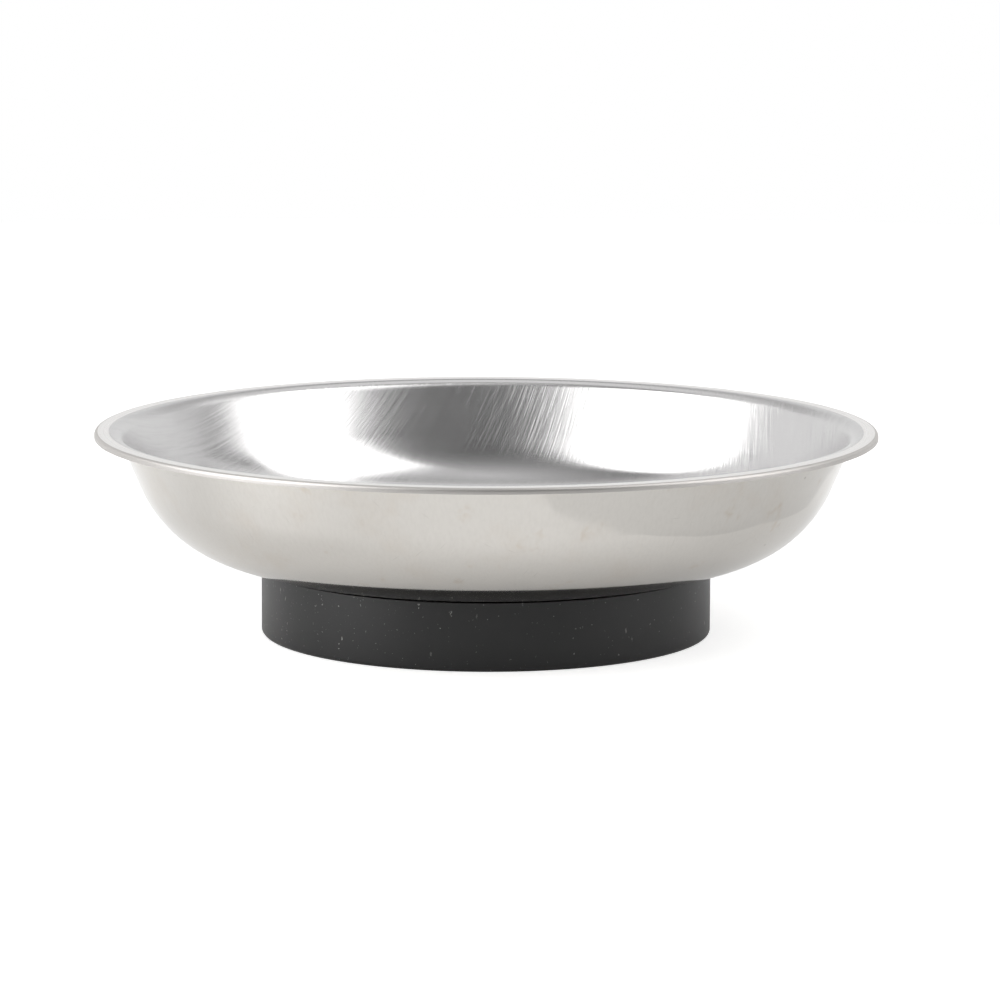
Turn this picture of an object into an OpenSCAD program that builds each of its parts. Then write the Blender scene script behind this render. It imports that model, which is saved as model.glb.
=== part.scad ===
// Round magnetic parts tray: a drawn stainless dish bolted to a ring magnet in a rubber boot.
// Millimetres, +Z up, origin on the axis at the underside of the boot.

/* [Dish] */
// Outside diameter of the turned-down rim
rim_d = 150; // [144:1:176]
// Height of the dish, from its flat underside to the top of the rim
dish_h = 27.8; // [24:0.1:32]
// Thickness of the stainless sheet
sheet_t = 0.5; // [0.4:0.05:0.6]
// Underside radius of the shallow arc that rises from the flat bottom
bottom_arc_r = 76; // [60:1:92]
// Slope of the sheet where the shallow arc meets the shoulder, in degrees
bottom_slope = 18.8; // [15:0.1:22]
// Underside radius of the shoulder between the bottom and the wall
shoulder_r = 23.9; // [20:0.1:28]
// Slope of the straight wall above the shoulder, in degrees
wall_slope = 66.9; // [60:0.1:74]
// Underside radius of the bend from the wall into the flange
flange_bend_r = 2.5; // [1.5:0.1:3.5]
// Width of the flat flange between its two bends
flange_w = 2.15; // [1:0.05:4]
// Outside radius of the bend that turns the rim down
lip_bend_r = 0.65; // [0.65:0.05:1.2]
// Straight drop of the lip below its bend
lip_drop = 0.45; // [0.1:0.05:1]

/* [Ring magnet] */
// Outside diameter of the ferrite ring
magnet_d = 80; // [64:1:90]
// Diameter of the hole in the ring
magnet_hole_d = 40; // [26:1:50]
// Thickness of the ring
magnet_h = 10; // [9:0.5:15]
// Ground chamfer on the edges of the ring
magnet_chamfer = 0.6; // [0.2:0.1:1]

/* [Rubber boot] */
// Thickness of the floor under the magnet
boot_floor_t = 1.5; // [1:0.1:3]
// Thickness of the wall round the magnet
boot_wall_t = 2.95; // [1.5:0.05:5]
// Round on the outer edge of the foot
foot_r = 0.75; // [0.2:0.05:0.95]
// Round on the outer edge under the dish
boot_edge_r = 0.15; // [0.1:0.05:1]
// Room between the end of the stud and the bench
bench_clearance = 1.5; // [0.5:0.1:2]

/* [Fasteners] */
// Thread diameter of the welded stud
stud_d = 5; // [4:0.5:6]
// Diameter of the weld flange on the stud
stud_flange_d = 6.5; // [6.2:0.1:8]
// Thickness of the weld flange
stud_flange_t = 1; // [0.5:0.1:1.5]
// Length of stud left standing proud of the nut
stud_proud = 0.4; // [0.2:0.1:1]
// Chamfer at the ends of the stud and nut threads
thread_lead = 0.5; // [0.2:0.1:0.8]
// Outside diameter of the wide flat washer
washer_d = 15; // [12:0.5:18]
// Thickness of the wide flat washer
washer_t = 1.2; // [0.8:0.1:1.6]
// Outside diameter of the split spring washer
spring_washer_d = 9.2; // [8.4:0.1:11]
// Thickness of the split spring washer
spring_washer_t = 1.2; // [0.8:0.1:1.6]
// Width of the slanted split in the spring washer
split_w = 0.8; // [0.4:0.1:1.2]
// Slant of the split from the axis, in degrees
split_slant = 20; // [0:1:35]
// Size of the nut across its flats
nut_flats = 8; // [7.5:0.1:10]
// Diameter of the round face that the corners of the nut are turned down to
nut_face_d = 7.4; // [7:0.1:7.4]
// Slope of the turned corners, in degrees
nut_chamfer = 30; // [15:1:40]
// Height of the nut
nut_h = 4.7; // [3.5:0.1:5.2]

/* [Clearances] */
// Radial room between the magnet and the boot
magnet_clearance = 0.25; // [0.1:0.05:0.6]
// Gap between the dish and the sloped top of the boot wall
dish_gap = 0.08; // [0.05:0.01:0.5]
// Radial room round the stud in the washers
stud_clearance = 0.15; // [0.1:0.05:0.3]
// Radial room between the thread and the nut
thread_clearance = 0.05; // [0.02:0.01:0.1]
// Radial room round the weld flange in the boot
flange_clearance = 0.2; // [0.1:0.05:0.5]
// Radial room round the flat washer in the recess
recess_clearance = 1; // [0.5:0.1:3]

/* [Hidden] */
$fn = 180;

// Largest distance between an arc and the short chords that follow it
chord_error = 0.006;

steel_colour = "#cdcac6";
zinc_colour = "#b9bdc0";
ferrite_colour = "#3a3a3c";
rubber_colour = "#2a2a2b";

// Heights of the stack: up to the dish through the magnet, and up to the hub through the fasteners
dish_z = boot_floor_t + magnet_h;
stud_end_z = bench_clearance;
nut_z = stud_end_z + stud_proud;
spring_washer_z = nut_z + nut_h;
washer_z = spring_washer_z + spring_washer_t;
recess_h = washer_z + washer_t;

// Radii that the boot takes from the magnet and the fasteners
magnet_r = magnet_d / 2;
pocket_r = magnet_r + magnet_clearance;
boot_r = pocket_r + boot_wall_t;
hub_r = magnet_hole_d / 2 - magnet_clearance;
recess_r = washer_d / 2 + recess_clearance;
stud_hole_r = stud_flange_d / 2 + flange_clearance;
washer_hole_r = stud_d / 2 + stud_clearance;

// Run and rise of each stretch of the dish underside, walked from the flat bottom to the flange
bottom_run = bottom_arc_r * sin(bottom_slope);
bottom_rise = bottom_arc_r * (1 - cos(bottom_slope));
shoulder_run = shoulder_r * (sin(wall_slope) - sin(bottom_slope));
shoulder_rise = shoulder_r * (cos(bottom_slope) - cos(wall_slope));
bend_run = flange_bend_r * sin(wall_slope);
bend_rise = flange_bend_r * (1 - cos(wall_slope));
wall_rise = dish_h - sheet_t - bottom_rise - shoulder_rise - bend_rise;
wall_run = wall_rise / tan(wall_slope);

// The flat bottom takes the radius that the curved stretches leave inside the rim
rim_r = rim_d / 2;
flat_r = rim_r - lip_bend_r - flange_w - bend_run - wall_run - shoulder_run - bottom_run;

// Points and centres of that walk, as radius and height
bottom_centre = [flat_r, dish_z + bottom_arc_r];
bottom_end = [flat_r + bottom_run, dish_z + bottom_rise];
shoulder_centre = bottom_end + shoulder_r * [-sin(bottom_slope), cos(bottom_slope)];
wall_start = bottom_end + [shoulder_run, shoulder_rise];
bend_centre = wall_start + [wall_run + bend_run, wall_rise + bend_rise - flange_bend_r];
lip_centre = [rim_r - lip_bend_r, dish_z + dish_h - lip_bend_r];

// Top of the boot wall: from the pocket it slopes up with the dish, then rounds over into the side
pocket_lean = asin((pocket_r - flat_r) / bottom_arc_r);
boot_top_z = bottom_centre.y - bottom_arc_r * cos(pocket_lean) - dish_gap;
edge_x = boot_r - boot_edge_r;
edge_z = boot_top_z + (edge_x - pocket_r) * tan(pocket_lean) - boot_edge_r / cos(pocket_lean);
edge_centre = [edge_x, edge_z];
foot_centre = [boot_r - foot_r, foot_r];

// Points along an arc, close enough together to keep within chord_error of it
function arc(centre, r, from, to) =
    let (steps = ceil(abs(to - from) / (2 * acos(1 - chord_error / r))))
    [for (i = [0:steps]) let (a = from + (to - from) * i / steps) centre + r * [cos(a), sin(a)]];

// Section of the sheet: out along the underside, round the turned-down lip, back along the inside
module dish_section() {
    underside = concat(
        [[0, dish_z]],
        arc(bottom_centre, bottom_arc_r, -90, bottom_slope - 90),
        arc(shoulder_centre, shoulder_r, bottom_slope - 90, wall_slope - 90),
        arc(bend_centre, flange_bend_r, 90 + wall_slope, 90),
        arc(lip_centre, lip_bend_r - sheet_t, 90, 0)
    );
    lip_edge = [
        [rim_r - sheet_t, lip_centre.y - lip_drop],
        [rim_r, lip_centre.y - lip_drop],
    ];
    inside = concat(
        arc(lip_centre, lip_bend_r, 0, 90),
        arc(bend_centre, flange_bend_r + sheet_t, 90, 90 + wall_slope),
        arc(shoulder_centre, shoulder_r - sheet_t, wall_slope - 90, bottom_slope - 90),
        arc(bottom_centre, bottom_arc_r - sheet_t, bottom_slope - 90, -90),
        [[0, dish_z + sheet_t]]
    );
    polygon(concat(underside, lip_edge, inside));
}

// Drawn stainless dish
module dish() {
    color(steel_colour) rotate_extrude() dish_section();
}

// Threaded stud, welded by its flange to the underside of the dish
module weld_stud() {
    color(zinc_colour) {
        translate([0, 0, dish_z - stud_flange_t]) cylinder(h = stud_flange_t, d = stud_flange_d);
        translate([0, 0, stud_end_z + thread_lead])
            cylinder(h = dish_z - stud_end_z - thread_lead, d = stud_d);
        translate([0, 0, stud_end_z]) cylinder(h = thread_lead, d1 = stud_d - 2 * thread_lead, d2 = stud_d);
    }
}

// Ferrite ring with ground edges, lying on the floor of the boot
module ring_magnet() {
    hole_r = magnet_hole_d / 2;
    color(ferrite_colour)
        translate([0, 0, boot_floor_t])
            rotate_extrude()
                polygon([
                    [hole_r + magnet_chamfer, 0],
                    [magnet_r - magnet_chamfer, 0],
                    [magnet_r, magnet_chamfer],
                    [magnet_r, magnet_h - magnet_chamfer],
                    [magnet_r - magnet_chamfer, magnet_h],
                    [hole_r + magnet_chamfer, magnet_h],
                    [hole_r, magnet_h - magnet_chamfer],
                    [hole_r, magnet_chamfer],
                ]);
}

// Section of the boot: recess, foot, side, sloped top under the dish, pocket and hub
module boot_section() {
    polygon(concat(
        [[stud_hole_r, recess_h], [recess_r, recess_h], [recess_r, 0]],
        arc(foot_centre, foot_r, 270, 360),
        arc(edge_centre, boot_edge_r, 0, 90 + pocket_lean),
        [[pocket_r, boot_top_z], [pocket_r, boot_floor_t], [hub_r, boot_floor_t]],
        [[hub_r, dish_z], [stud_hole_r, dish_z]]
    ));
}

// Moulded rubber boot, open at the top, with a recess for the nut under its hub
module rubber_boot() {
    color(rubber_colour) rotate_extrude() boot_section();
}

// Wide flat washer that spreads the clamping force on the hub
module flat_washer() {
    color(zinc_colour)
        translate([0, 0, washer_z])
            difference() {
                cylinder(h = washer_t, d = washer_d);
                translate([0, 0, -washer_t]) cylinder(h = 3 * washer_t, r = washer_hole_r);
            }
}

// Split spring washer, drawn flat as it is under the tightened nut
module spring_washer() {
    split_reach = 4 * spring_washer_t;
    color(zinc_colour)
        translate([0, 0, spring_washer_z])
            difference() {
                cylinder(h = spring_washer_t, d = spring_washer_d);
                translate([0, 0, -spring_washer_t]) cylinder(h = 3 * spring_washer_t, r = washer_hole_r);
                translate([0, 0, spring_washer_t / 2])
                    rotate([split_slant, 0, 0])
                        translate([0, -split_w / 2, -split_reach / 2])
                            cube([spring_washer_d, split_w, split_reach]);
            }
}

// Hexagon nut with turned corners and a countersunk bore
module hex_nut() {
    cone_d = nut_face_d + 2 * nut_h / tan(nut_chamfer);
    bore_r = stud_d / 2 + thread_clearance;
    color(zinc_colour)
        translate([0, 0, nut_z])
            difference() {
                intersection() {
                    cylinder(h = nut_h, d = nut_flats / cos(30), $fn = 6);
                    cylinder(h = nut_h, d1 = nut_face_d, d2 = cone_d);
                    cylinder(h = nut_h, d1 = cone_d, d2 = nut_face_d);
                }
                translate([0, 0, -nut_h]) cylinder(h = 3 * nut_h, r = bore_r);
                cylinder(h = thread_lead, r1 = bore_r + thread_lead, r2 = bore_r);
                translate([0, 0, nut_h - thread_lead])
                    cylinder(h = thread_lead, r1 = bore_r, r2 = bore_r + thread_lead);
            }
}

dish();
weld_stud();
ring_magnet();
rubber_boot();
flat_washer();
spring_washer();
hex_nut();
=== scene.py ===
"""Looks of a magnetic parts tray: a drawn stainless dish on a ring magnet in a rubber boot."""

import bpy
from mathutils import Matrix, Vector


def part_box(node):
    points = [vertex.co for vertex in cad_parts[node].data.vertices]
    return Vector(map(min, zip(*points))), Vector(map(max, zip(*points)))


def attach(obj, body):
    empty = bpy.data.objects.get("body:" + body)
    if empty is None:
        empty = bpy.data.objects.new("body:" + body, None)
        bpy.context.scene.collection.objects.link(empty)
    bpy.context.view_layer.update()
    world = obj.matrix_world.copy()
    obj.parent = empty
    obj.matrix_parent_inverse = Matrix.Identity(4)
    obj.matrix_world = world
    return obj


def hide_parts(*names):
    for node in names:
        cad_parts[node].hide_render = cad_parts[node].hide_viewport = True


bl_info = {
    "name": "Magnetic Parts Tray",
    "version": (1, 0, 0),
    "blender": (4, 5, 0),
    "location": "View3D > Sidebar > Parts Tray",
    "description": "Dresses a magnetic parts tray and sets it on a white studio stage",
    "category": "Object",
}

import math

import bmesh
import bpy
from mathutils import Euler, Vector

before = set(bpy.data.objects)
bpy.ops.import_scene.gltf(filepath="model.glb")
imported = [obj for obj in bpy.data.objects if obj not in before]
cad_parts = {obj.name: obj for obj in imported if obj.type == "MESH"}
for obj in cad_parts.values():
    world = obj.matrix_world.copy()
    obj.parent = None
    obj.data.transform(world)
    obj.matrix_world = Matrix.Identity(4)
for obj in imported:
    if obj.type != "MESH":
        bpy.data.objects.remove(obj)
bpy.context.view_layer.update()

MM = 0.001
BODY = "root"
QUARTER = math.pi / 2
WHITE = (1.0, 1.0, 1.0, 1.0)

# The sRGB curve: the end of its straight start, the slope there, and the offset and power of the rest
CURVE_START, CURVE_SLOPE, CURVE_OFFSET, CURVE_POWER = 0.04045, 12.92, 0.055, 2.4
# Decimals that the sidebar shows of a length in metres
LENGTH_DIGITS = 5

# Columns of a turned mesh and of a threaded one, and the longest chord and widest step along an arc
TURN_STEPS = 288
SMALL_STEPS = 48
CHORD = 0.7 * MM
ARC_STEP = math.radians(7.5)
# Points closer together than this are one point
SAME = 1e-7
# Edges that bend more than this stay sharp
SHARP = math.radians(25)

# One turn of a metric thread, as shares of its pitch: each corner's place and its depth below the crest
THREAD = ((0, 0), (1 / 8, 0), (7 / 16, 0.54), (11 / 16, 0.54))

# Sockets of a Mix node that mixes colours: its share, its two colours and its result
MIX_SHARE, MIX_A, MIX_B, MIX_RESULT = 0, 6, 7, 2
# Between these lie most values of a noise
NOISE_LOW, NOISE_HIGH = 0.3, 0.7

DISH_LOW, DISH_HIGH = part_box("dish")
BOOT_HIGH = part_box("rubber_boot")[1]


def linear(hex_colour):
    """Turns an sRGB hex colour into the linear RGBA that shaders take."""
    def channel(start):
        value = int(hex_colour[start:start + 2], 16) / 255
        if value <= CURVE_START:
            return value / CURVE_SLOPE
        return ((value + CURVE_OFFSET) / (1 + CURVE_OFFSET)) ** CURVE_POWER
    return (channel(1), channel(3), channel(5), 1.0)


def length(name, description, default):
    """A size in metres that a user can change."""
    return bpy.props.FloatProperty(name=name, description=description, default=default, min=0.0,
                                   precision=LENGTH_DIGITS, unit="LENGTH")


def angle(name, description, degrees):
    """An angle that a user can change."""
    return bpy.props.FloatProperty(name=name, description=description, default=math.radians(degrees),
                                   unit="ROTATION")


def colour(name, description, hex_colour):
    """A colour that a user can change, written as sRGB hex."""
    return bpy.props.FloatVectorProperty(name=name, description=description, default=linear(hex_colour),
                                         size=4, min=0.0, max=1.0, subtype="COLOR")


def share(name, description, default):
    """A plain number without a unit, such as a light level."""
    return bpy.props.FloatProperty(name=name, description=description, default=default, min=0.0)


class TrayDishSizes(bpy.types.PropertyGroup):
    """Sizes of the drawn dish that the frame doesn't give."""
    sheet: length("Sheet", "Thickness of the stainless sheet", 0.5 * MM)
    bottom_arc: length("Bottom arc", "Underside radius of the shallow arc round the flat", 76 * MM)
    bottom_slope: angle("Bottom slope", "Slope where the shallow arc meets the shoulder", 18.8)
    shoulder: length("Shoulder", "Underside radius of the shoulder", 23.9 * MM)
    wall_slope: angle("Wall slope", "Slope of the straight wall", 66.9)
    flange_bend: length("Flange bend", "Underside radius of the bend into the flange", 2.5 * MM)
    flange: length("Flange", "Width of the flat flange between its bends", 2.15 * MM)
    lip_bend: length("Lip bend", "Outside radius of the turned-down lip", 0.65 * MM)
    lip_drop: length("Lip drop", "Straight drop of the lip below its bend", 0.45 * MM)
    brush_angle: angle("Brush lines", "Direction of the brush lines on the flat blank, from +X", 64)


class TrayBootSizes(bpy.types.PropertyGroup):
    """Sizes of the moulded boot that the frame doesn't give."""
    wall: length("Wall", "Thickness of the wall round the magnet", 2.95 * MM)
    foot: length("Foot round", "Round on the outer edge of the foot", 0.75 * MM)
    edge: length("Edge round", "Round on the outer edge under the dish", 0.15 * MM)
    dish_gap: length("Dish gap", "Gap between the dish and the sloped top of the wall", 0.08 * MM)
    hub_room: length("Hub room", "Room between the hub and the magnet", 0.25 * MM)
    recess_room: length("Recess room", "Room round the flat washer in the recess", 1.0 * MM)
    stud_room: length("Stud room", "Room round the weld flange in the hub", 0.2 * MM)


class TrayFastenerSizes(bpy.types.PropertyGroup):
    """Sizes of the stud, nut and flat washer that the frame doesn't give."""
    stud: length("Stud", "Radius of the stud over its thread", 2.5 * MM)
    pitch: length("Pitch", "Rise of the thread in one turn", 0.8 * MM)
    thread_room: length("Thread room", "Room between the threads of the stud and the nut", 0.05 * MM)
    weld_flange: length("Weld flange", "Height of the flange that is welded to the dish", 1.0 * MM)
    nut_face: length("Nut face", "Radius of the flat face inside the nut's chamfer", 3.7 * MM)
    nut_chamfer: angle("Nut chamfer", "Slope of the chamfer on the nut's corners", 30)
    countersink: length("Countersink", "Radius where the nut's thread opens at its faces", 2.75 * MM)
    soft_edge: length("Soft edge", "Round left by the stamping die on an edge", 0.2 * MM)


class TrayColours(bpy.types.PropertyGroup):
    """Colours of the finishes."""
    stainless: colour("Stainless", "Reflection of the bright underside", "#cfccc7")
    brushed: colour("Brushed stainless", "Reflection of the brushed side", "#cccbcb")
    # Rim and lip are the same stainless as the rest: the rim's lighter colour is painted light on the
    # flange, the lip's darker colour painted shade that dims its reflections
    rim: colour("Rim", "Reflection of the satin flange", "#e2e0de")
    lip: colour("Lip", "Reflection of the worn lip", "#c2bfbc")
    tarnish: colour("Tarnish", "Faint brown film where the dish was handled", "#b9a690")
    scuff: colour("Scuff", "Pin marks and hairline scratches in the steel", "#857d76")
    rubber: colour("Rubber", "Black of the boot", "#131314")
    haze: colour("Haze", "Rubber under a thin film of dust", "#1c1c1d")
    dust: colour("Dust", "Specks on the rubber", "#a9a8a4")
    zinc: colour("Zinc", "Reflection of the plated fasteners", "#bfc3c6")
    ferrite: colour("Ferrite", "Face of the sintered ring", "#3a3a3c")
    ferrite_pore: colour("Ferrite pores", "Pores of the sintered ring", "#232325")


class TrayStudio(bpy.types.PropertyGroup):
    """Light levels and colours of the stage."""
    left_light: share("Left softbox", "Radiance of the left softbox", 2.2)
    right_light: share("Right softbox", "Radiance of the right softbox", 1.75)
    room_light: share("Room light", "Radiance of the white room on matt surfaces", 0.35)
    floor: colour("Floor", "Pale floor", "#e7e7e7")
    # A darker grey sheet, seen only in reflections, that darkens the mirrored floor on the right
    darker_sheet: colour("Paper", "Grey paper on the right of the floor", "#d5d5d5")
    floor_seen: share("Floor seen", "Light added to the floor where the camera looks at it", 0.6)
    floor_mirrored: share("Floor mirrored", "Light added to the mirrored floor round the tray", 0.22)
    floor_shade_under: share("Floor under", "Light added to the mirrored floor under the tray", 0.14)
    floor_light_pool: share("Floor patch", "Light added in the middle of the bright patch on its left", 0.36)
    floor_back: share("Floor back", "Light added to it beside and behind the tray", 0.05)


def add_node(tree, kind, inputs=None, **settings):
    """Adds a shader node with its settings and links.

    An input is a value, a socket that feeds it, or a node whose first output feeds it.
    """
    node = tree.nodes.new("ShaderNode" + kind)
    for field, value in settings.items():
        setattr(node, field, value)
    for socket, value in (inputs or {}).items():
        if isinstance(value, bpy.types.Node):
            value = value.outputs[0]
        if isinstance(value, bpy.types.NodeSocket):
            tree.links.new(value, node.inputs[socket])
        else:
            node.inputs[socket].default_value = value
    return node


def new_material(name):
    """An empty node material and its tree."""
    material = bpy.data.materials.new(name)
    material.use_nodes = True
    material.node_tree.nodes.clear()
    return material, material.node_tree


def output(tree, surface):
    """Links a shader to the surface of a material."""
    add_node(tree, "OutputMaterial", {"Surface": surface})


def arc(centre, radius, start, end):
    """Points (radius, height) along an arc between two angles, close enough together to look round."""
    sweep = abs(end - start)
    steps = max(math.ceil(sweep / ARC_STEP), math.ceil(radius * sweep / CHORD))
    turns = [start + (end - start) * i / steps for i in range(steps + 1)]
    return [(centre[0] + radius * math.cos(a), centre[1] + radius * math.sin(a)) for a in turns]


def turn(name, stretches, materials, closed):
    """Turns stretches of outline, each (points, material number), round the Z axis into a mesh.

    A closed outline is a ring; an open one starts and ends on the axis. The UV map "blank" lays the
    outline's two halves out flat, by the distance along the surface from the nearer end of the outline.
    """
    points = []
    numbers = []
    for stretch, number in stretches:
        fresh = [p for i, p in enumerate(stretch) if not points or i or math.dist(p, points[-1]) > SAME]
        points += fresh
        numbers += [number] * len(fresh)
    runs = [0.0]
    for before, after in zip(points, points[1:]):
        runs.append(runs[-1] + math.dist(before, after))
    half = runs[-1] / 2
    spread = [run if run <= half else runs[-1] - run for run in runs]
    vertices = []
    rows = []
    for radius, height in points:
        columns = TURN_STEPS if radius > SAME else 1
        rows.append([len(vertices) + i for i in range(columns)])
        for i in range(columns):
            a = math.tau * i / TURN_STEPS
            vertices.append((radius * math.cos(a), radius * math.sin(a), height))
    pairs = list(range(len(points) - 1)) + ([len(points) - 1] if closed else [])
    faces = []
    face_materials = []
    corners = []
    for low in pairs:
        high = (low + 1) % len(points)
        for i in range(TURN_STEPS):
            j = (i + 1) % TURN_STEPS
            loop = [(low, i), (low, j), (high, j), (high, i)]
            loop = [(row, column) for row, column in loop if len(rows[row]) > 1 or column == i]
            faces.append([rows[row][column % len(rows[row])] for row, column in loop])
            corners += [(row, i + (column != i)) for row, column in loop]
            face_materials.append(numbers[high])
    mesh = bpy.data.meshes.new(name)
    mesh.from_pydata(vertices, [], faces)
    for material in materials:
        mesh.materials.append(material)
    mesh.polygons.foreach_set("material_index", face_materials)
    layer = mesh.uv_layers.new(name="blank")
    for (row, column), slot in zip(corners, layer.data):
        a = math.tau * column / TURN_STEPS
        slot.uv = (spread[row] * math.cos(a), spread[row] * math.sin(a))
    return place(name, mesh)


def place(name, mesh):
    """Links a finished mesh to the scene, smooth but for its sharp edges."""
    mesh.validate()
    mesh.shade_smooth()
    mesh.set_sharp_from_angle(angle=SHARP)
    piece = bpy.data.objects.new(name, mesh)
    bpy.context.scene.collection.objects.link(piece)
    return piece


def seat(piece, node):
    """A piece stands for its CAD node, which is hidden, and moves with the tray."""
    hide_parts(node)
    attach(piece, BODY)


def dish_walk(sizes):
    """Rim, end of the flat and arc centres of the dish underside, walked from the flat bottom to the lip.

    A centre is (radius, height).
    """
    rim = DISH_HIGH.x
    rise = DISH_HIGH.z - DISH_LOW.z
    low, high = sizes.bottom_slope, sizes.wall_slope
    bottom_run = sizes.bottom_arc * math.sin(low)
    bottom_rise = sizes.bottom_arc * (1 - math.cos(low))
    shoulder_run = sizes.shoulder * (math.sin(high) - math.sin(low))
    shoulder_rise = sizes.shoulder * (math.cos(low) - math.cos(high))
    bend_run = sizes.flange_bend * math.sin(high)
    bend_rise = sizes.flange_bend * (1 - math.cos(high))
    wall_rise = rise - sizes.sheet - bottom_rise - shoulder_rise - bend_rise
    wall_run = wall_rise / math.tan(high)
    flat = rim - sizes.lip_bend - sizes.flange - bend_run - wall_run - shoulder_run - bottom_run
    bottom_end = (flat + bottom_run, DISH_LOW.z + bottom_rise)
    return {
        "rim": rim,
        "flat": flat,
        "bottom": (flat, DISH_LOW.z + sizes.bottom_arc),
        "shoulder": (bottom_end[0] - sizes.shoulder * math.sin(low),
                     bottom_end[1] + sizes.shoulder * math.cos(low)),
        "bend": (rim - sizes.lip_bend - sizes.flange, DISH_HIGH.z - sizes.sheet - sizes.flange_bend),
        "lip": (rim - sizes.lip_bend, DISH_HIGH.z - sizes.lip_bend),
    }


def brushed_stainless(sizes, colours):
    """Stainless sheet, brushed in straight lines before it was drawn.

    On the bottom the brush lines scatter light across themselves and break reflections into streaks. On
    the wall the draw stretched the sheet upwards, and its fine upright lines smear reflections sideways.
    """
    # Width and length in millimetres of the brush lines, of finer ones and of the patches that break them.
    # The lines are drawn several times as wide as real ones, which are too fine for the picture
    streak, hair, patch = (0.26, 90.0), (0.16, 60.0), (0.7, 8.0)
    line_low, line_high = 0.4, 0.64
    hair_share = 0.8
    groove_depth = 0.006 * MM
    # Share of that depth on the bottom, and the distances along the sheet between which the wall takes over
    bottom_share = 0.3
    wall_from, wall_to = 63.0 * MM, 74.0 * MM
    # Roughness between and on the lines, and the stretch of highlights across them
    brushed_finish = (0.16, 0.19, 0.8)
    drawn_finish = (0.19, 0.22, 0.9)
    material, tree = new_material("stainless_brushed")
    flat = add_node(tree, "UVMap", uv_map="blank")
    turned = add_node(tree, "Mapping", {"Vector": flat, "Rotation": (0, 0, -sizes.brush_angle),
                                        "Scale": (1 / MM, 1 / MM, 1 / MM)}, vector_type="POINT")
    lines = []
    for width, run in (streak, hair, patch):
        squeezed = add_node(tree, "Mapping", {"Vector": turned, "Scale": (1 / run, 1 / width, 1)},
                            vector_type="POINT")
        noise = add_node(tree, "TexNoise", {"Vector": squeezed, "Scale": 1.0, "Detail": 0.0},
                         noise_dimensions="2D")
        lines.append(add_node(tree, "MapRange",
                              {"Value": noise, "From Min": line_low, "From Max": line_high},
                              interpolation_type="SMOOTHSTEP"))
    streaks, hairs, patches = lines
    both = add_node(tree, "Math", {0: hairs, 1: hair_share, 2: streaks}, operation="MULTIPLY_ADD")
    broken = add_node(tree, "Math", {0: both, 1: patches}, operation="MULTIPLY")
    out = add_node(tree, "VectorMath", {0: flat}, operation="LENGTH").outputs["Value"]
    on_wall = add_node(tree, "MapRange", {"Value": out, "From Min": wall_from, "From Max": wall_to},
                       interpolation_type="SMOOTHSTEP")
    opened = add_node(tree, "MapRange", {"Value": on_wall, "To Min": bottom_share, "To Max": 1.0})
    grooves = add_node(tree, "Bump", {"Strength": opened, "Distance": groove_depth, "Height": broken})
    across = add_node(tree, "Tangent", direction_type="UV_MAP", uv_map="blank")
    around = add_node(tree, "Tangent", direction_type="RADIAL", axis="Z")
    sides = []
    for (smooth, rough, stretch), tangent in ((brushed_finish, across), (drawn_finish, around)):
        roughness = add_node(tree, "MapRange", {"Value": streaks, "To Min": smooth, "To Max": rough})
        sides.append(add_node(tree, "BsdfPrincipled",
                              {"Base Color": colours.brushed, "Metallic": 1.0, "Roughness": roughness,
                               "Anisotropic": stretch, "Tangent": tangent, "Normal": grooves}))
    brushed, drawn = sides
    brushed.inputs["Anisotropic Rotation"].default_value = (sizes.brush_angle + QUARTER) / math.tau % 1
    output(tree, add_node(tree, "MixShader", {0: on_wall, 1: brushed, 2: drawn}))
    return material


def satin_stainless(name, tint, smooth, rough):
    """Stainless sheet where a tool turned the rim down. It is satin, with marks that run round the rim."""
    # In millimetres, wider than the real marks, which are too fine for the picture
    mark_width = 0.3
    mark_depth = 0.012 * MM
    material, tree = new_material(name)
    flat = add_node(tree, "UVMap", uv_map="blank")
    out = add_node(tree, "VectorMath", {0: flat}, operation="LENGTH").outputs["Value"]
    marks = add_node(tree, "TexNoise", {"W": out, "Scale": 1 / (mark_width * MM), "Detail": 1.0},
                     noise_dimensions="1D")
    grooves = add_node(tree, "Bump", {"Strength": 1.0, "Distance": mark_depth, "Height": marks})
    roughness = add_node(tree, "MapRange", {"Value": marks, "From Min": NOISE_LOW, "From Max": NOISE_HIGH,
                                            "To Min": smooth, "To Max": rough})
    output(tree, add_node(tree, "BsdfPrincipled", {"Base Color": tint, "Metallic": 1.0,
                                                   "Roughness": roughness, "Normal": grooves}))
    return material


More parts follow.
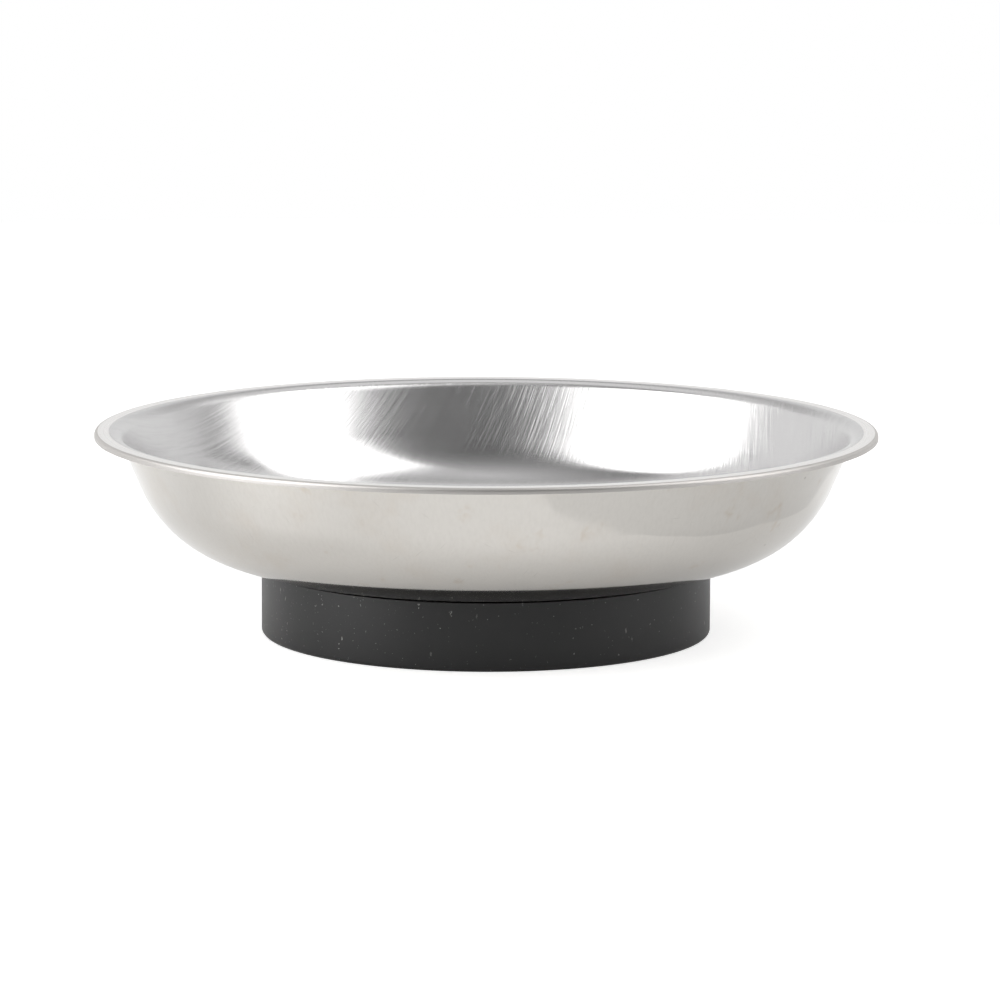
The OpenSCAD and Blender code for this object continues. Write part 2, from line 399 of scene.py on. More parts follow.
def bright_stainless(colours):
    """Bright rolled stainless, the side of the sheet that was not brushed.

    It mirrors its surroundings softly, with a faint brown film, stains, pin marks and hairline scratches.
    """
    # Film and stains: size in millimetres, detail and roughness of the noise, where it starts and is full,
    # and its strength
    film, stains = (14.0, 4.0, 0.6, 0.5, 0.75, 0.14), (7.0, 3.0, 0.7, 0.6, 0.8, 0.4)
    # Sizes in millimetres; the grain and scratches are wider than real ones, to show in the picture
    grain_width, grain_length = 0.5, 20.0
    scratch_width, scratch_length = 0.3, 4.5
    scratch_turns = (0.5, 2.2)
    pin_spacing = 9.0
    # Where each of these marks starts and is full in its pattern, and its strength
    grain_low, grain_high, grain_most = 0.4, 0.8, 0.06
    scratch_low, scratch_high, scratch_most = 0.86, 0.96, 0.16
    pin_inside, pin_outside, pin_most = 0.02, 0.035, 0.6
    # Roughness on clean and on filmed steel, and where the film counts as full
    clean, filmed, film_full = 0.07, 0.14, 0.8
    material, tree = new_material("stainless_bright_rolled")
    place_on = add_node(tree, "TexCoord").outputs["Object"]
    noises = []
    layers = []
    for size, detail, roughness, low, high, most in (film, stains):
        noises.append(add_node(tree, "TexNoise", {"Vector": place_on, "Scale": 1 / (size * MM),
                                                  "Detail": detail, "Roughness": roughness}))
        layers.append(add_node(tree, "MapRange", {"Value": noises[-1], "From Min": low, "From Max": high,
                                                  "To Min": 0.0, "To Max": most},
                               interpolation_type="SMOOTHSTEP"))
    uneven = add_node(tree, "Math", {0: layers[0], 1: layers[1]}, operation="MAXIMUM")
    warm = add_node(tree, "Mix", {MIX_SHARE: uneven, MIX_A: colours.stainless, MIX_B: colours.tarnish},
                    data_type="RGBA")
    pins = add_node(tree, "TexVoronoi", {"Vector": place_on, "Scale": 1 / (pin_spacing * MM)})
    marks = add_node(tree, "MapRange", {"Value": pins, "From Min": pin_inside, "From Max": pin_outside,
                                        "To Min": pin_most, "To Max": 0.0})
    flat = add_node(tree, "UVMap", uv_map="blank")
    for turned in scratch_turns:
        lines = add_node(tree, "Mapping", {"Vector": flat, "Rotation": (0, 0, turned),
                                           "Scale": (scratch_length * MM, scratch_width * MM, 1)},
                         vector_type="TEXTURE")
        noise = add_node(tree, "TexNoise", {"Vector": lines, "Scale": 1.0, "Detail": 0.0},
                         noise_dimensions="2D")
        scratch = add_node(tree, "MapRange",
                           {"Value": noise, "From Min": scratch_low, "From Max": scratch_high,
                            "To Min": 0.0, "To Max": scratch_most})
        marks = add_node(tree, "Math", {0: marks, 1: scratch}, operation="MAXIMUM")
    upright = add_node(tree, "Mapping", {"Vector": place_on, "Scale": (grain_width * MM, grain_width * MM,
                                                                       grain_length * MM)},
                       vector_type="TEXTURE")
    grain = add_node(tree, "TexNoise", {"Vector": upright, "Scale": 1.0, "Detail": 2.0})
    worn = add_node(tree, "MapRange", {"Value": grain, "From Min": grain_low, "From Max": grain_high,
                                       "To Min": 0.0, "To Max": grain_most})
    marks = add_node(tree, "Math", {0: marks, 1: worn}, operation="MAXIMUM")
    tint = add_node(tree, "Mix", {MIX_SHARE: marks, MIX_A: warm.outputs[MIX_RESULT], MIX_B: colours.scuff},
                    data_type="RGBA")
    roughness = add_node(tree, "MapRange", {"Value": noises[0], "From Min": NOISE_LOW, "From Max": film_full,
                                            "To Min": clean, "To Max": filmed})
    output(tree, add_node(tree, "BsdfPrincipled", {"Base Color": tint.outputs[MIX_RESULT], "Metallic": 1.0,
                                                   "Roughness": roughness}))
    return material


class TRAY_OT_dish(bpy.types.Operator):
    """Turn the drawn dish, brushed on top and bright underneath"""
    bl_idname = "tray.dish"
    bl_label = "Drawn Dish"

    def execute(self, context):
        sizes = context.scene.tray_dish
        walk = dish_walk(sizes)
        low, high = sizes.bottom_slope, sizes.wall_slope
        under = [(0.0, DISH_LOW.z)]
        under += arc(walk["bottom"], sizes.bottom_arc, -QUARTER, low - QUARTER)
        under += arc(walk["shoulder"], sizes.shoulder, low - QUARTER, high - QUARTER)
        under += arc(walk["bend"], sizes.flange_bend, QUARTER + high, QUARTER)
        under += arc(walk["lip"], sizes.lip_bend - sizes.sheet, QUARTER, 0)
        lip_foot = walk["lip"][1] - sizes.lip_drop
        under.append((walk["rim"] - sizes.sheet, lip_foot))
        lip = [(walk["rim"], lip_foot)]
        lip += arc(walk["lip"], sizes.lip_bend, 0, QUARTER)
        flange = [(walk["bend"][0], DISH_HIGH.z)]
        top = arc(walk["bend"], sizes.flange_bend + sizes.sheet, QUARTER, QUARTER + high)
        top += arc(walk["shoulder"], sizes.shoulder - sizes.sheet, high - QUARTER, low - QUARTER)
        top += arc(walk["bottom"], sizes.bottom_arc - sizes.sheet, low - QUARTER, -QUARTER)
        top.append((0.0, DISH_LOW.z + sizes.sheet))
        colours = context.scene.tray_colours
        materials = [
            bright_stainless(colours),
            # The lip takes a darker copy of the steel, painted shade, and the flange a lighter one, painted
            # light
            satin_stainless("stainless_satin_turned_painted_shade", colours.lip, smooth=0.42, rough=0.5),
            satin_stainless("stainless_satin_flattened_painted_light", colours.rim, smooth=0.26, rough=0.34),
            brushed_stainless(sizes, colours),
        ]
        piece = turn("drawn_dish", [(under, 0), (lip, 1), (flange, 2), (top, 3)], materials, closed=False)
        seat(piece, "dish")
        return {"FINISHED"}


def moulded_rubber(colours):
    """Black rubber from a satin mould.

    It is dull head-on, mirrors the bench where light grazes it, and holds dust, most of it on the left.
    """
    # Sizes in millimetres; the mould's grain is coarser than a real one, which is too fine for the picture
    grain_size, haze_size, wander_size = 0.35, 16.0, 0.5
    specks, fine_specks, fibres = (1.0, 1.0, 1.0), (0.7, 0.7, 0.7), (1.2, 1.2, 4.0)
    grain_depth, wander = 0.006 * MM, 0.7 * MM
    haze_low, haze_high, haze_most = 0.45, 0.75, 0.5
    # The dusty and the clean side, the strength of dust on each, and the lot below which a cell stays clean
    dusty_side, clean_side = -40.0 * MM, 5.0 * MM
    dust_strengths, clean_lots = (0.85, 0.5), (-0.4, 0.45)
    # Reach of the largest speck and width of its soft edge, as shares of a cell
    speck_reach, speck_edge = 0.16, 0.05
    smooth, rough, ior = 0.38, 0.44, 1.5
    material, tree = new_material("rubber_moulded")
    place_on = add_node(tree, "TexCoord").outputs["Object"]
    grain = add_node(tree, "TexNoise", {"Vector": place_on, "Scale": 1 / (grain_size * MM), "Detail": 2.0})
    bumps = add_node(tree, "Bump", {"Strength": 1.0, "Distance": grain_depth, "Height": grain})
    cloud = add_node(tree, "TexNoise", {"Vector": place_on, "Scale": 1 / (haze_size * MM), "Detail": 3.0})
    film = add_node(tree, "MapRange", {"Value": cloud, "From Min": haze_low, "From Max": haze_high,
                                       "To Min": 0.0, "To Max": haze_most})
    hazed = add_node(tree, "Mix", {MIX_SHARE: film, MIX_A: colours.rubber, MIX_B: colours.haze},
                     data_type="RGBA")
    drift = add_node(tree, "TexNoise", {"Vector": place_on, "Scale": 1 / (wander_size * MM), "Detail": 1.0})
    ragged = add_node(tree, "VectorMath", {0: drift.outputs["Color"], 1: (wander, wander, wander),
                                           2: place_on}, operation="MULTIPLY_ADD")
    side = add_node(tree, "SeparateXYZ", {"Vector": place_on})
    gathered, clean = [
        add_node(tree, "MapRange",
                 {"Value": side.outputs["X"], "From Min": dusty_side, "From Max": clean_side,
                  "To Min": left, "To Max": right})
        for left, right in (dust_strengths, clean_lots)]
    dust = None
    for cell in (specks, fine_specks, fibres):
        cells = add_node(tree, "Mapping", {"Vector": ragged, "Scale": [size * MM for size in cell]},
                         vector_type="TEXTURE")
        speck = add_node(tree, "TexVoronoi", {"Vector": cells, "Scale": 1.0})
        lot = add_node(tree, "SeparateXYZ", {"Vector": speck.outputs["Color"]})
        reach = add_node(tree, "MapRange", {"Value": lot.outputs["X"], "From Min": clean, "From Max": 1.0,
                                            "To Min": 0.0, "To Max": speck_reach})
        inside = add_node(tree, "Math", {0: reach, 1: speck}, operation="SUBTRACT")
        shown = add_node(tree, "MapRange", {"Value": inside, "From Min": 0.0, "From Max": speck_edge,
                                            "To Min": 0.0, "To Max": gathered})
        faint = add_node(tree, "Math", {0: shown, 1: lot.outputs["Y"]}, operation="MULTIPLY")
        dust = faint if dust is None else add_node(tree, "Math", {0: dust, 1: faint}, operation="MAXIMUM")
    tint = add_node(tree, "Mix", {MIX_SHARE: dust, MIX_A: hazed.outputs[MIX_RESULT], MIX_B: colours.dust},
                    data_type="RGBA")
    roughness = add_node(tree, "MapRange", {"Value": cloud, "From Min": NOISE_LOW, "From Max": NOISE_HIGH,
                                            "To Min": smooth, "To Max": rough})
    output(tree, add_node(tree, "BsdfPrincipled", {"Base Color": tint.outputs[MIX_RESULT], "IOR": ior,
                                                   "Roughness": roughness, "Normal": bumps}))
    return material


class TRAY_OT_boot(bpy.types.Operator):
    """Turn the moulded rubber boot that covers the magnet"""
    bl_idname = "tray.boot"
    bl_label = "Rubber Boot"

    def execute(self, context):
        sizes = context.scene.tray_boot
        outside = BOOT_HIGH.x
        magnet_low, magnet_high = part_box("ring_magnet")
        pocket = outside - sizes.wall
        hole = min(v.co.xy.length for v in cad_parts["ring_magnet"].data.vertices)
        hub = hole - sizes.hub_room
        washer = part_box("flat_washer")[1]
        recess = washer.x + sizes.recess_room
        stud_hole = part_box("weld_stud")[1].x + sizes.stud_room
        dish = context.scene.tray_dish
        walk = dish_walk(dish)
        lean = math.asin((pocket - walk["flat"]) / dish.bottom_arc)
        top = walk["bottom"][1] - dish.bottom_arc * math.cos(lean) - sizes.dish_gap
        edge_out = outside - sizes.edge
        edge_up = top + (edge_out - pocket) * math.tan(lean) - sizes.edge / math.cos(lean)
        outline = [(stud_hole, washer.z), (recess, washer.z), (recess, 0.0)]
        outline += arc((outside - sizes.foot, sizes.foot), sizes.foot, -QUARTER, 0)
        outline += arc((edge_out, edge_up), sizes.edge, 0, QUARTER + lean)
        outline += [(pocket, top), (pocket, magnet_low.z), (hub, magnet_low.z)]
        outline += [(hub, magnet_high.z), (stud_hole, magnet_high.z)]
        rubber = moulded_rubber(context.scene.tray_colours)
        piece = turn("moulded_boot", [(outline, 0)], [rubber], closed=True)
        seat(piece, "rubber_boot")
        return {"FINISHED"}


def dress(node, material):
    """Gives a CAD node a finish; its shape stays as it is."""
    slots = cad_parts[node].material_slots
    if not slots:
        raise RuntimeError(f"{node} has no material slot to dress")
    for slot in slots:
        slot.material = material


def sintered_ferrite(colours):
    """Ferrite ring, pressed, sintered and ground. It is charcoal grey with a dull shine and open pores."""
    # Size in millimetres, coarser than real pores, which are too fine for the picture
    pore_size, pore_depth = 0.5, 0.02 * MM
    in_pores, between, ior = 0.65, 0.5, 2.2
    material, tree = new_material("ferrite_sintered")
    place_on = add_node(tree, "TexCoord").outputs["Object"]
    pores = add_node(tree, "TexNoise", {"Vector": place_on, "Scale": 1 / (pore_size * MM), "Detail": 3.0})
    tint = add_node(tree, "Mix", {MIX_SHARE: pores, MIX_A: colours.ferrite_pore, MIX_B: colours.ferrite},
                    data_type="RGBA")
    bumps = add_node(tree, "Bump", {"Strength": 1.0, "Distance": pore_depth, "Height": pores})
    roughness = add_node(tree, "MapRange", {"Value": pores, "From Min": NOISE_LOW, "From Max": NOISE_HIGH,
                                            "To Min": in_pores, "To Max": between})
    output(tree, add_node(tree, "BsdfPrincipled", {"Base Color": tint.outputs[MIX_RESULT], "IOR": ior,
                                                   "Roughness": roughness, "Normal": bumps}))
    return material


class TRAY_OT_magnet(bpy.types.Operator):
    """Dress the ferrite ring inside the boot"""
    bl_idname = "tray.magnet"
    bl_label = "Ring Magnet"

    def execute(self, context):
        dress("ring_magnet", sintered_ferrite(context.scene.tray_colours))
        return {"FINISHED"}


def plated_zinc(colours):
    """Steel with bright zinc plate. It mirrors softly through a faint cloudy bloom."""
    # Size in millimetres, and roughness between and in the clouds
    bloom_size, clear, cloudy = 1.5, 0.22, 0.4
    material, tree = new_material("steel_zinc_plated")
    place_on = add_node(tree, "TexCoord").outputs["Object"]
    bloom = add_node(tree, "TexNoise", {"Vector": place_on, "Scale": 1 / (bloom_size * MM), "Detail": 3.0})
    roughness = add_node(tree, "MapRange", {"Value": bloom, "From Min": NOISE_LOW, "From Max": NOISE_HIGH,
                                            "To Min": clear, "To Max": cloudy})
    output(tree, add_node(tree, "BsdfPrincipled", {"Base Color": colours.zinc, "Metallic": 1.0,
                                                   "Roughness": roughness}))
    return material


def ring(radius_at, height_at):
    """Points round the Z axis, from the radius and height at each angle."""
    turns = [math.tau * i / SMALL_STEPS for i in range(SMALL_STEPS)]
    return [(radius_at(a) * math.cos(a), radius_at(a) * math.sin(a), height_at(a)) for a in turns]


def plain_ring(radius, height):
    """Points of a level circle round the Z axis."""
    return ring(lambda a: radius, lambda a: height)


def thread_rings(low, high, crest, pitch, bound):
    """Rings of a thread between two heights, each climbing one pitch in a turn.

    The threads of two pieces with the same pitch run into each other. bound(radius, height) opens or
    closes the thread towards its ends, where it has to give a circle.
    """
    rings = []
    for step in range(math.floor(low / pitch) - 1, math.ceil(high / pitch) + 1):
        for place_in_turn, depth in THREAD:
            def height_at(a):
                return min(max(pitch * (step + place_in_turn + a / math.tau), low), high)
            rings.append(ring(lambda a: bound(crest - depth * pitch, height_at(a)), height_at))
    return rings


def skin(shape, rings, climb=0):
    """Adds the faces between rings to a shape.

    The end of a climbing ring meets the start of the ring that is climb further on.
    """
    made = [[shape.verts.new(point) for point in points] for points in rings]
    last = len(made) - 1
    for k in range(last):
        for i in range(SMALL_STEPS):
            j = (i + 1) % SMALL_STEPS
            lift = 0 if j else climb
            low, high = made[min(k + lift, last)], made[min(k + 1 + lift, last)]
            shape.faces.new(dict.fromkeys((made[k][i], low[j], high[j], made[k + 1][i])))
    return made


def finish_shape(name, shape, material):
    """Joins what meets in a shape, turns its faces outwards and places it as a piece."""
    bmesh.ops.remove_doubles(shape, verts=shape.verts, dist=SAME)
    bmesh.ops.recalc_face_normals(shape, faces=shape.faces)
    mesh = bpy.data.meshes.new(name)
    shape.to_mesh(mesh)
    shape.free()
    mesh.materials.append(material)
    return place(name, mesh)


def threaded_stud(sizes, material):
    """Stud with a rolled thread, a chamfered end and the flange that is welded to the dish."""
    low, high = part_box("weld_stud")
    neck = high.z - sizes.weld_flange
    core = sizes.stud - max(depth for place_in_turn, depth in THREAD) * sizes.pitch
    soft = sizes.soft_edge

    def bound(radius, height):
        return min(radius, core + min(height - low.z, neck - height))

    shape = bmesh.new()
    bottom = skin(shape, thread_rings(low.z, neck, sizes.stud, sizes.pitch, bound), climb=len(THREAD))
    flange = [(core, neck), (high.x - soft, neck), (high.x, neck + soft), (high.x, high.z)]
    top = skin(shape, [plain_ring(*corner) for corner in flange])
    shape.faces.new(bottom[0])
    shape.faces.new(top[-1])
    return finish_shape("threaded_stud", shape, material)


def chamfered_nut(sizes, material):
    """Hexagon nut with chamfered corners and a cut thread that opens at both faces."""
    low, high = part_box("hex_nut")
    side_turn = math.tau / 6
    half_flats = high.x * math.cos(side_turn / 2)
    crest = sizes.stud + sizes.thread_room

    def hexagon(a):
        return half_flats / math.cos(a % side_turn - side_turn / 2)

    def drop(a):
        return (hexagon(a) - sizes.nut_face) * math.tan(sizes.nut_chamfer)

    def bound(radius, height):
        return max(radius, sizes.countersink - min(height - low.z, high.z - height))

    shape = bmesh.new()
    skin(shape, [plain_ring(sizes.countersink, low.z), plain_ring(sizes.nut_face, low.z),
                 ring(hexagon, lambda a: low.z + drop(a)), ring(hexagon, lambda a: high.z - drop(a)),
                 plain_ring(sizes.nut_face, high.z), plain_ring(sizes.countersink, high.z)])
    skin(shape, thread_rings(low.z, high.z, crest, sizes.pitch, bound), climb=len(THREAD))
    return finish_shape("chamfered_nut", shape, material)


def stamped_washer(sizes, material):
    """Flat washer with the soft edges that a stamping die leaves."""
    low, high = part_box("flat_washer")
    hole = min(v.co.xy.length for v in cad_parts["flat_washer"].data.vertices)
    soft = sizes.soft_edge
    outline = arc((high.x - soft, low.z + soft), soft, -QUARTER, 0)
    outline += arc((high.x - soft, high.z - soft), soft, 0, QUARTER)
    outline += arc((hole + soft, high.z - soft), soft, QUARTER, 2 * QUARTER)
    outline += arc((hole + soft, low.z + soft), soft, 2 * QUARTER, 3 * QUARTER)
    return turn("stamped_washer", [(outline, 0)], [material], closed=True)


class TRAY_OT_fasteners(bpy.types.Operator):
    """Make the stud, nut and washers that hold the boot and the magnet to the dish"""
    bl_idname = "tray.fasteners"
    bl_label = "Fasteners"

    def execute(self, context):
        sizes = context.scene.tray_fasteners
        zinc = plated_zinc(context.scene.tray_colours)
        seat(threaded_stud(sizes, zinc), "weld_stud")
        seat(chamfered_nut(sizes, zinc), "hex_nut")
        seat(stamped_washer(sizes, zinc), "flat_washer")
        dress("spring_washer", zinc)
        return {"FINISHED"}


# The stage is in metres and degrees where nothing else is said.
# Softboxes: the azimuth, elevation and distance of the plane of each, its place across and up that plane,
# its size and its roll
ROUND_SOFTBOX = ((-66.7, 30, 1.0), (-0.08, 0.075), (1.16, 1.27), 0)
UPRIGHT_SOFTBOX = ((62, 20, 0.65), (0.2025, 0.4075), (0.555, 0.945), -2.5)
# Power of an area lamp for each square metre and unit of radiance
LAMP_POWER = 4
# Dark flag over the lower left edge of the upright softbox: its distance, its level, and its corners
# across and up the softbox's plane
FLAG_AWAY, FLAG_LEVEL = 0.62, 0.13
FLAG = ((-0.2, 0.3), (-0.08, 0.295), (-0.06, 0.27), (-0.045, 0.245), (-0.04, 0.2), (-0.04, -0.1),
        (-0.2, -0.1))
# Dark room on the camera side: its left and right ends, its front wall and the height of its ceiling
ROOM_LEFT, ROOM_RIGHT, ROOM_FRONT, ROOM_TOP = -1.2, 2.4, -1.3, 1.2
# Where the ceiling ends at the back, on the left and on the right
ROOM_BACK = (0.27, 0.19)
# Level of the dark room over the tray and far from it, the distance and power of its fall, and the share
# of a distance that counts sideways
ROOM_ZENITH, ROOM_FAR, ROOM_FALL, ROOM_POWER, ROOM_SIDE = 0.86, 0.13, 0.72, 2.0, 0.65
# Grey cards beside the tray: the azimuths of the near edge and of the far edge at the floor and at the
# top, the height and the level of each
SIDE_CARDS = ((-103.5, -119, -110, 1.19, 0.08), (96, 124, 111, 0.9, 0.03))
# Grey card at the back: half its width, its distance, its lower and upper edge and its level
BACK_HALF, BACK_AWAY, BACK_LOW, BACK_HIGH, BACK_LEVEL = 1.5, 1.0, 0.62, 1.15, 0.5
# Radius and corners of the round floor
FLOOR_RADIUS, FLOOR_CORNERS = 0.8, 96
# Middle of the painted pool of light on the mirrored floor and its reach, in millimetres
FLOOR_PATCH, FLOOR_PATCH_REACH = (-100, -72), 62
# Distances from the middle, in millimetres, between which the mirrored floor comes out of the painted shade
# under the tray
FLOOR_UNDER, FLOOR_OPEN = 50, 100
# Distances from the middle, in millimetres towards the back, between which painted light brightens the
# mirrored floor
FLOOR_FRONT, FLOOR_BACK = -45, 20
# Corners of the darker sheet on the right, seen only in reflections, where it darkens the mirrored floor:
# from its near edge round its inner edge to the back, and its height above the floor, in millimetres
DARKER_SHEET_INNER = ((-6, -150), (14, -96.5), (23, -87), (38, -79), (50, -69.5), (60, -55.5), (64, -48),
               (70, -39.5), (84, -20.5), (93.5, 10), (108, 62), (112, 140))
DARKER_SHEET_OUTER = ((300, 140), (300, -300), (-6, -300))
DARKER_SHEET_LIFT = 0.3
# Camera: its place, the width of its sensor and its focal length in millimetres, and in radians its turn
# to the right, downwards and round its line of sight
CAMERA_PLACE = (0.0, -0.9, 0.16901)
SENSOR_WIDTH, FOCAL_LENGTH = 36, 170.656
PAN, TILT, ROLL = 0.0029477, 0.158346, 0.0030974


class TRAY_OT_stage(bpy.types.Operator):
    """Set the floor, lights, cards and camera of the studio"""
    bl_idname = "tray.stage"
    bl_label = "Studio Stage"

    def execute(self, context):
        studio = context.scene.tray_studio
        white_room(context.scene, studio)
        pale_floor(studio)
        softbox("round_softbox", "ELLIPSE", ROUND_SOFTBOX, studio.left_light)
        softbox("upright_softbox", "RECTANGLE", UPRIGHT_SOFTBOX, studio.right_light)
        dark_room()
        grey_cards()
        camera(context.scene)
        context.scene.view_settings.view_transform = "Standard"
        return {"FINISHED"}


def seen_directly(tree):
    """Two sockets: one is 1 for rays that look straight at a surface, one for rays that mirror it."""
    path = add_node(tree, "LightPath").outputs
    mirrored = add_node(tree, "Math", {0: path["Is Glossy Ray"], 1: path["Is Transmission Ray"]},
                        operation="MAXIMUM")
    return path["Is Camera Ray"], mirrored.outputs["Value"]


def white_room(scene, studio):
    """A white room: full white where it is seen or mirrored, dimmer as light on matt surfaces."""
    world = bpy.data.worlds.new("white_room")
    world.use_nodes = True
    tree = world.node_tree
    tree.nodes.clear()
    camera_ray, mirror_ray = seen_directly(tree)
    seen = add_node(tree, "Math", {0: camera_ray, 1: mirror_ray}, operation="MAXIMUM")
    level = add_node(tree, "MapRange", {"Value": seen, "To Min": studio.room_light, "To Max": 1.0})
    background = add_node(tree, "Background", {"Color": WHITE, "Strength": level})
    add_node(tree, "OutputWorld", {"Surface": background})
    scene.world = world


def pale_floor(studio):
    """A round pale floor that keeps the tray's shadow and reads as white round it, and a darker grey sheet.

    The sheet lies on the right and shows only in the steel, which mirrors it as a darker zone of the floor
    with its inner edge.
    """
    turns = [math.tau * i / FLOOR_CORNERS for i in range(FLOOR_CORNERS)]
    card("floor", [(FLOOR_RADIUS * math.cos(a), FLOOR_RADIUS * math.sin(a), 0.0) for a in turns],
         floor_material("floor_matt_white", studio.floor, studio), hidden=False)
    # The darker sheet is seen only in reflections, where it darkens the mirrored floor on the right of the
    # tray
    card("floor_darker_sheet", [(x * MM, y * MM, DARKER_SHEET_LIFT * MM) for x, y in DARKER_SHEET_INNER + DARKER_SHEET_OUTER],
         floor_material("darker_sheet_matt_grey", studio.darker_sheet, studio))


def floor_material(name, tint, studio):
    """Matt sheet that reads brighter where it is seen or mirrored than where it only bounces light.

    For mirrored rays the glow also changes over the floor: a painted pool of light on the left, painted
    shade under the tray and painted light behind it.
    """
    material, tree = new_material(name)
    camera_ray, mirror_ray = seen_directly(tree)
    place_on = add_node(tree, "TexCoord").outputs["Object"]
    patch_middle = (FLOOR_PATCH[0] * MM, FLOOR_PATCH[1] * MM, 0)
    away = add_node(tree, "VectorMath", {0: place_on, 1: patch_middle}, operation="DISTANCE")
    out = add_node(tree, "VectorMath", {0: place_on}, operation="LENGTH")
    across = add_node(tree, "SeparateXYZ", {"Vector": place_on})
    # Glow for mirrored rays only: a painted pool of light on the left, painted shade under the tray and
    # painted light behind it
    changes = (
        (away.outputs["Value"], 0.0, FLOOR_PATCH_REACH, studio.floor_light_pool, 0.0),
        (out.outputs["Value"], FLOOR_UNDER, FLOOR_OPEN, studio.floor_shade_under, studio.floor_mirrored),
        (across.outputs["Y"], FLOOR_FRONT, FLOOR_BACK, 0.0, studio.floor_back),
    )
    patch, glow_with_tray_shade, back = [
        add_node(tree, "MapRange", {"Value": value, "From Min": start * MM, "From Max": end * MM,
                                    "To Min": before, "To Max": after}, interpolation_type="SMOOTHSTEP")
        for value, start, end, before, after in changes]
    spread = add_node(tree, "Math", {0: patch, 1: glow_with_tray_shade}, operation="ADD")
    added = add_node(tree, "Math", {0: spread, 1: back}, operation="ADD")
    mirrored = add_node(tree, "Math", {0: mirror_ray, 1: added}, operation="MULTIPLY")
    level = add_node(tree, "Math", {0: camera_ray, 1: studio.floor_seen, 2: mirrored},
                     operation="MULTIPLY_ADD")
    matt = add_node(tree, "BsdfDiffuse", {"Color": tint})
    glow = add_node(tree, "Emission", {"Color": WHITE, "Strength": level})
    output(tree, add_node(tree, "AddShader", {0: matt, 1: glow}))
    return material


def card(name, corners, material, hidden=True):
    """A flat card on the stage; a hidden one shows only in reflections."""
    mesh = bpy.data.meshes.new(name)
    mesh.from_pydata(corners, [], [list(range(len(corners)))])
    mesh.materials.append(material)
    piece = bpy.data.objects.new(name, mesh)
    bpy.context.scene.collection.objects.link(piece)
    for flag in ("visible_camera", "visible_diffuse", "visible_shadow"):
        setattr(piece, flag, not hidden)


def dark_room():
    """A dark wall behind the camera and a ceiling, brightest over the tray, seen only in reflections."""
    material, tree = new_material("card_dim_grey")
    place_on = add_node(tree, "TexCoord").outputs["Object"]
    spread = add_node(tree, "VectorMath", {0: place_on, 1: (ROOM_SIDE, 1, 0)}, operation="MULTIPLY")
    away = add_node(tree, "VectorMath", {0: spread}, operation="LENGTH").outputs["Value"]
    near = add_node(tree, "MapRange", {"Value": away, "From Min": 0.0, "From Max": ROOM_FALL, "To Min": 1.0,
                                       "To Max": 0.0})
    bent = add_node(tree, "Math", {0: near, 1: ROOM_POWER}, operation="POWER")
    level = add_node(tree, "MapRange", {"Value": bent, "To Min": ROOM_FAR, "To Max": ROOM_ZENITH})
    output(tree, add_node(tree, "Emission", {"Color": WHITE, "Strength": level}))
    wall = [(ROOM_LEFT, ROOM_FRONT, 0), (ROOM_RIGHT, ROOM_FRONT, 0), (ROOM_RIGHT, ROOM_FRONT, ROOM_TOP),
            (ROOM_LEFT, ROOM_FRONT, ROOM_TOP)]
    ceiling = [(ROOM_LEFT, ROOM_FRONT, ROOM_TOP), (-ROOM_LEFT, ROOM_FRONT, ROOM_TOP),
               (-ROOM_LEFT, ROOM_BACK[1], ROOM_TOP), (ROOM_LEFT, ROOM_BACK[0], ROOM_TOP)]
    card("camera_side_card", wall, material)
    card("overhead_card", ceiling, material)


def grey_card_material(level):
    """Grey studio card of one level."""
    material, tree = new_material("card_grey")
    output(tree, add_node(tree, "Emission", {"Color": WHITE, "Strength": level}))
    return material


def grey_cards():
    """Grey cards beside and behind the tray and the flag on the softbox, seen only in reflections."""
    for near, far_low, far_high, height, level in SIDE_CARDS:
        top = Vector((0, 0, height))
        corners = [aim(near, 0), aim(far_low, 0), aim(far_high, 0) + top, aim(near, 0) + top]
        card(f"side_card_{near}", corners, grey_card_material(level))
    azimuth, elevation, distance = UPRIGHT_SOFTBOX[0]
    plane = facing_plane(azimuth, elevation)
    shrunk = FLAG_AWAY / distance
    corners = [plane @ Vector((across * shrunk, up * shrunk, FLAG_AWAY)) for across, up in FLAG]
    card("flag_card", corners, grey_card_material(FLAG_LEVEL))
    back = [(-BACK_HALF, BACK_AWAY, BACK_LOW), (BACK_HALF, BACK_AWAY, BACK_LOW),
            (BACK_HALF, BACK_AWAY, BACK_HIGH), (-BACK_HALF, BACK_AWAY, BACK_HIGH)]
    card("back_card", back, grey_card_material(BACK_LEVEL))


def aim(azimuth, elevation):
    """Direction from the tray, by degrees: azimuth from the camera side to the right, elevation upwards."""
    turned, lifted = math.radians(azimuth), math.radians(elevation)
    flat = math.cos(lifted)
    return Vector((math.sin(turned) * flat, -math.cos(turned) * flat, math.sin(lifted)))


def facing_plane(azimuth, elevation):
    """Turn of a plane that faces the tray from an azimuth and elevation."""
    return (-aim(azimuth, elevation)).to_track_quat("-Z", "Y")


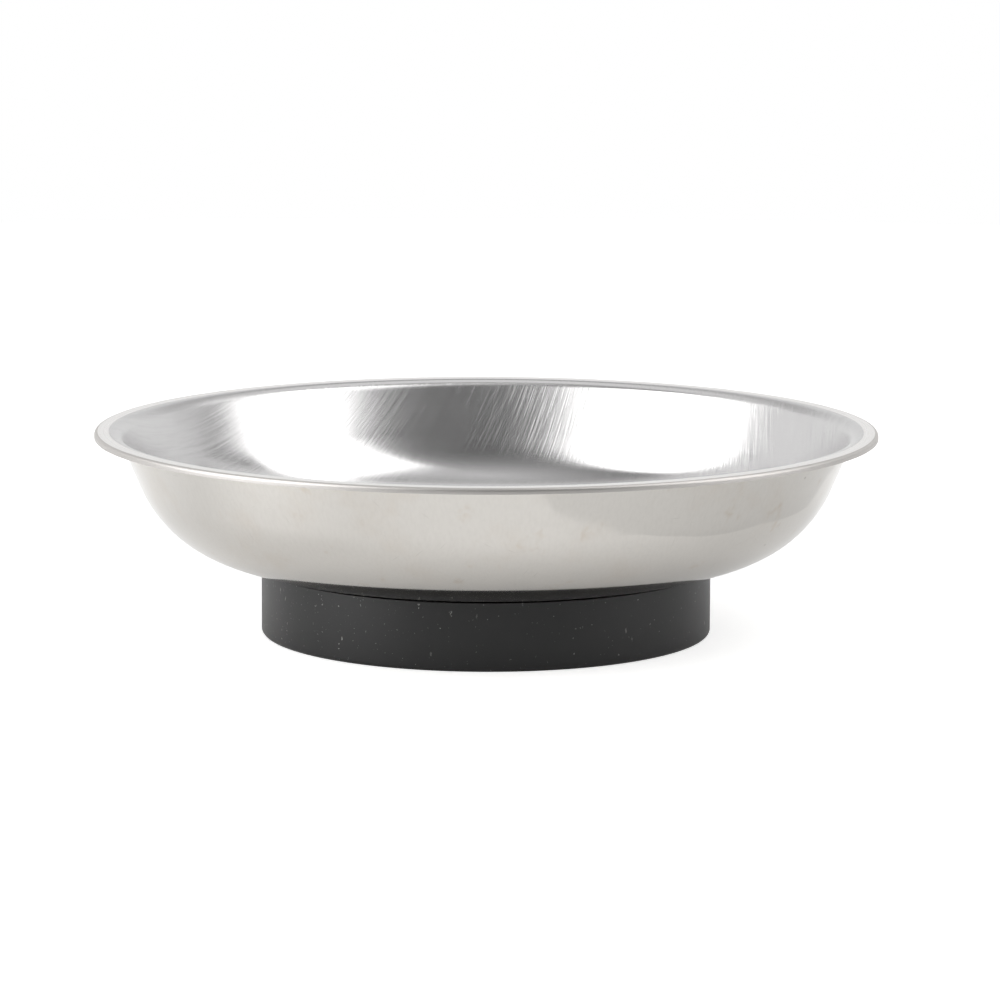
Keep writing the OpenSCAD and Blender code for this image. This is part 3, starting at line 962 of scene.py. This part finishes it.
def softbox(name, shape, stand, radiance):
    """A softbox that faces the tray, in a plane at an azimuth, elevation and distance."""
    (azimuth, elevation, distance), (across, up), size, roll = stand
    lamp = bpy.data.lights.new(name, "AREA")
    lamp.shape = shape
    lamp.size, lamp.size_y = size
    area = size[0] * size[1] * (math.pi / 4 if shape == "ELLIPSE" else 1)
    lamp.energy = radiance * LAMP_POWER * area
    piece = bpy.data.objects.new(name, lamp)
    bpy.context.scene.collection.objects.link(piece)
    facing = facing_plane(azimuth, elevation)
    piece.location = facing @ Vector((across, up, distance))
    piece.rotation_euler = (facing @ Euler((0, 0, math.radians(roll))).to_quaternion()).to_euler()


def camera(scene):
    """The camera at the photograph's viewing angle, on a long lens."""
    lens = bpy.data.cameras.new("camera")
    lens.sensor_fit = "HORIZONTAL"
    lens.sensor_width = SENSOR_WIDTH
    lens.lens = FOCAL_LENGTH
    piece = bpy.data.objects.new("camera", lens)
    scene.collection.objects.link(piece)
    piece.location = CAMERA_PLACE
    level = Euler((QUARTER - TILT, 0, -PAN), "XYZ").to_matrix()
    piece.rotation_euler = (level @ Euler((0, 0, ROLL)).to_matrix()).to_euler()
    scene.camera = piece


class TRAY_PT_sidebar(bpy.types.Panel):
    """Lists the pieces of the tray and its stage"""
    bl_label = "Parts Tray"
    bl_idname = "TRAY_PT_sidebar"
    bl_space_type = "VIEW_3D"
    bl_region_type = "UI"
    bl_category = "Parts Tray"

    def draw(self, context):
        for operator in OPERATORS:
            self.layout.operator(operator.bl_idname)


GROUPS = {
    "tray_dish": TrayDishSizes,
    "tray_boot": TrayBootSizes,
    "tray_fasteners": TrayFastenerSizes,
    "tray_colours": TrayColours,
    "tray_studio": TrayStudio,
}
OPERATORS = (TRAY_OT_dish, TRAY_OT_boot, TRAY_OT_magnet, TRAY_OT_fasteners, TRAY_OT_stage)


def register():
    """Registers the property groups on the scene, the operators and the panel."""
    for name, group in GROUPS.items():
        bpy.utils.register_class(group)
        setattr(bpy.types.Scene, name, bpy.props.PointerProperty(type=group))
    for shown in OPERATORS + (TRAY_PT_sidebar,):
        bpy.utils.register_class(shown)


def unregister():
    """Takes back what register() added."""
    for shown in reversed(OPERATORS + (TRAY_PT_sidebar,)):
        bpy.utils.unregister_class(shown)
    for name, group in reversed(GROUPS.items()):
        delattr(bpy.types.Scene, name)
        bpy.utils.unregister_class(group)


def main():
    """Builds every piece and the stage."""
    register()
    bpy.ops.tray.dish()
    bpy.ops.tray.boot()
    bpy.ops.tray.magnet()
    bpy.ops.tray.fasteners()
    bpy.ops.tray.stage()


if __name__ == "__main__":
    main()
